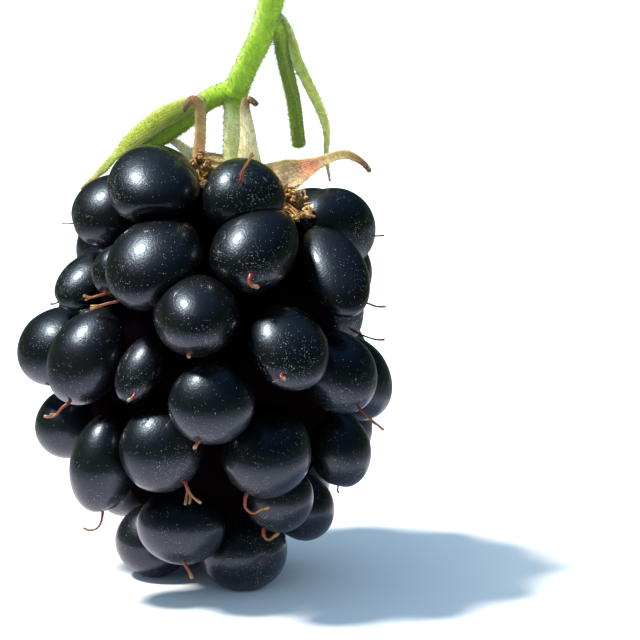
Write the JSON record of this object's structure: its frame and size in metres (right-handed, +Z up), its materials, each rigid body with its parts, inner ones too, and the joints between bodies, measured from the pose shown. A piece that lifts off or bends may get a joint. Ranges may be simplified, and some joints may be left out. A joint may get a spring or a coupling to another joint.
{
  "type": "bramble berry",
  "caption": "Ripe bramble berry picked with a forked piece of stalk: plump drupelets with dried styles, a dried calyx with curled sepals, stamens and narrow bracts",
  "frame": {"origin": "on the surface that the berry stands on, below the middle of the whole part", "axes": "+Z up along the berry, its best side faces -Y, and the cut top of the stalk leans towards +X"},
  "size_m": [0.0211, 0.022, 0.0348],
  "materials": {
    "berry_skin": "gloss",
    "dried_calyx": "matte",
    "dried_stamens": "matte",
    "green_stalk": "satin",
    "green_bract": "satin"
  },
  "bodies": {
    "root": {"drupelets": "berry_skin", "calyx": "dried_calyx", "stamens": "dried_stamens", "stalk": "green_stalk", "bract_left": "green_bract", "bract_right": "green_bract"}
  },
  "joints": []
}
